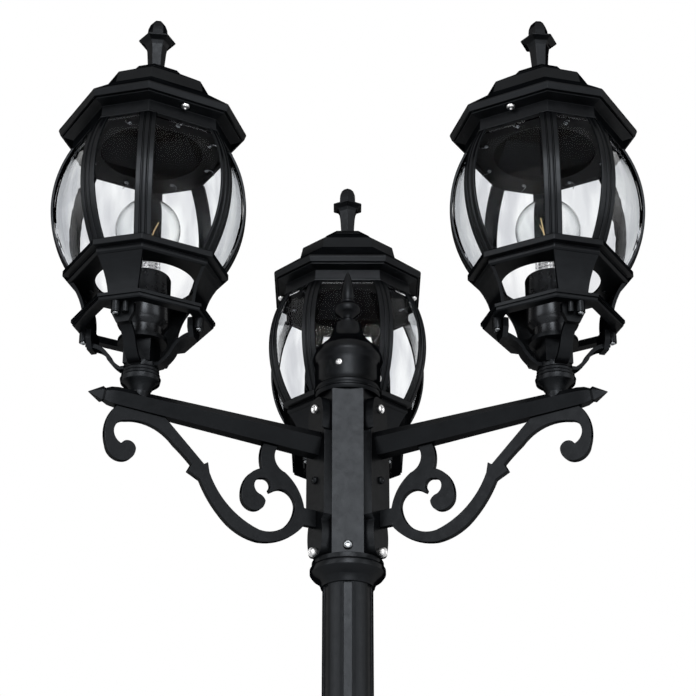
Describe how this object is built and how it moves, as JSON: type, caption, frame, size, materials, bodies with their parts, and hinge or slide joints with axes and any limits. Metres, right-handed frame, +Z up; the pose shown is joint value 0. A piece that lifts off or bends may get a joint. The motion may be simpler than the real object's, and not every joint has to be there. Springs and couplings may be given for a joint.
{
  "type": "triple head lamp post",
  "caption": "Garden lamp post: fluted shaft on a round foot, six-sided hub with bell cap, arms with scroll brackets and eight-sided barrel lanterns with clear panes and lift-off roofs.",
  "frame": {"origin": "centre of the foot's underside, on the post's axis", "axes": "+Z up the post; one arm points along +Y, the others 120 degrees either side of it"},
  "size_m": [0.547, 0.4912, 2.3007],
  "materials": {
    "black_casting": "fine-textured satin black powder coat on cast aluminium",
    "black_shaft": "fine-textured satin black powder coat on cast aluminium",
    "black_bracket": "fine-textured satin black powder coat on cast aluminium",
    "black_arm": "fine-textured satin black powder coat on cast aluminium",
    "black_cage": "fine-textured satin black powder coat on cast aluminium",
    "black_roof": "fine-textured satin black powder coat on cast aluminium",
    "black_cradle": "fine-textured satin black powder coat on cast aluminium",
    "pane_glass": "clear",
    "bulb_glass": "clear",
    "holder_black": "satin moulded",
    "white_block": "matt moulded",
    "lamp_cap_metal": "bright nickelled"
  },
  "bodies": {
    "post": {"foot": "black_casting", "lower_shaft": "black_shaft", "upper_shaft": "black_shaft", "hub_column": "black_casting", "hub_cap": "black_casting", "terminal_block": "white_block", "arm_rear": "black_arm", "arm_left": "black_arm", "arm_right": "black_arm", "scrolls": "black_bracket", "backplates": "black_casting", "cradles": "black_cradle", "galleries": "black_cage", "rims": "black_cage", "ribs": "black_cage", "panes": "pane_glass", "top_frames": "black_cage", "lampholders": "holder_black", "lamp_caps": "lamp_cap_metal", "bulbs": "bulb_glass"},
    "roof_rear_body": {"roof_rear": "black_roof", "roof_finial_rear": "black_roof"},
    "roof_left_body": {"roof_left": "black_roof", "roof_finial_left": "black_roof"},
    "roof_right_body": {"roof_right": "black_roof", "roof_finial_right": "black_roof"}
  },
  "joints": [
    {"name": "roof_lift_rear", "type": "slide", "parent": "post", "child": "roof_rear_body", "axis": [0, 0, 1], "range_m": [0, 0.16]},
    {"name": "roof_lift_left", "type": "slide", "parent": "post", "child": "roof_left_body", "axis": [0, 0, 1], "range_m": [0, 0.16]},
    {"name": "roof_lift_right", "type": "slide", "parent": "post", "child": "roof_right_body", "axis": [0, 0, 1], "range_m": [0, 0.16]}
  ]
}
